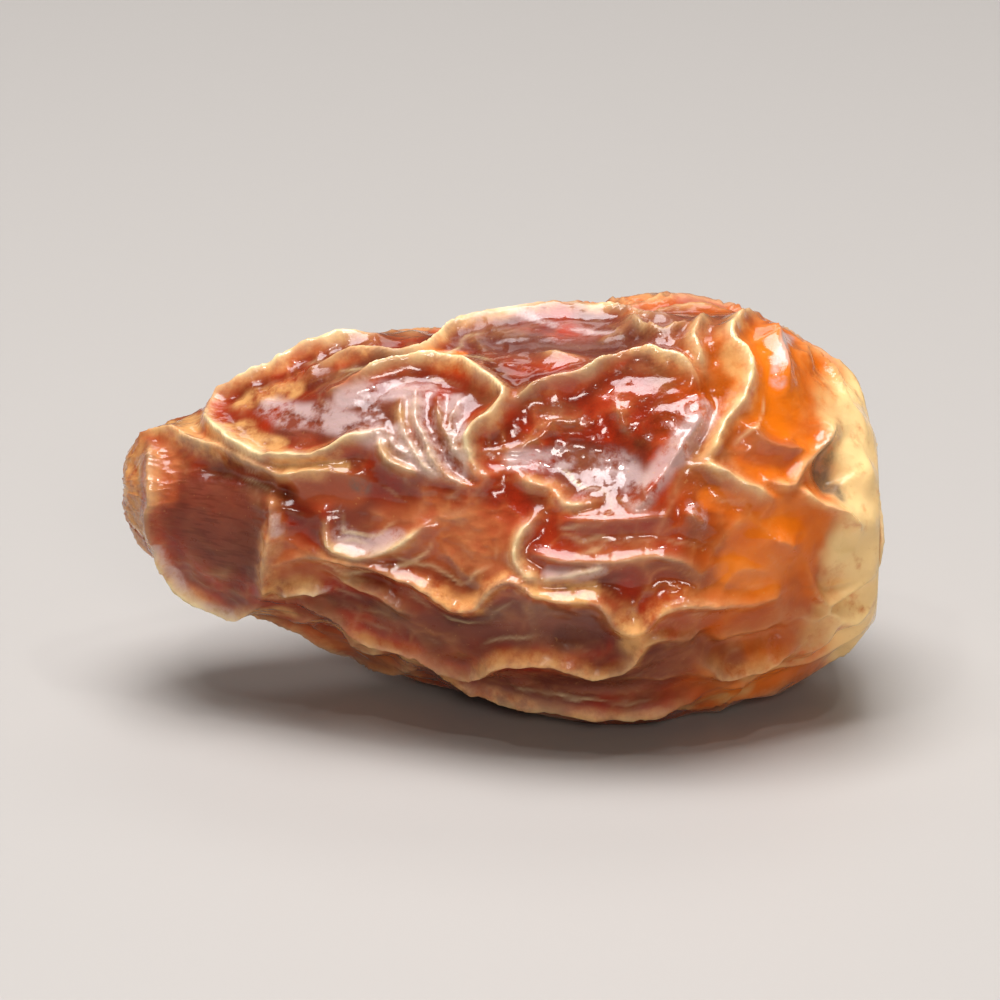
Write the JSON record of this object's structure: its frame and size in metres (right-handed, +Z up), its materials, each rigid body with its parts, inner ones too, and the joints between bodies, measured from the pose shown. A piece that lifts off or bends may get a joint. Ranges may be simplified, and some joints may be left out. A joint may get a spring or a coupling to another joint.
{
  "type": "date",
  "caption": "Ripe wrinkled date lying on its side: blunt tapered tip, wide stem end with a dried papery calyx round a raised ring, and a small flat spot to rest on.",
  "frame": {"origin": "bottom centre of the box of the whole date, level with the flat spot that it rests on", "axes": "+X runs along the date from its blunt tip to its stem end, +Y points away from the side that is seen first, +Z is up"},
  "size_m": [0.0428, 0.025, 0.0235],
  "materials": {
    "skin": "glossy, wrinkled, translucent fruit skin, red brown in the pockets, caramel to cream along the folds, amber towards the stem",
    "calyx": "dry, papery and matt, tan, with a paler ring"
  },
  "bodies": {
    "root": {"fruit": "skin", "calyx": "calyx"}
  },
  "joints": []
}
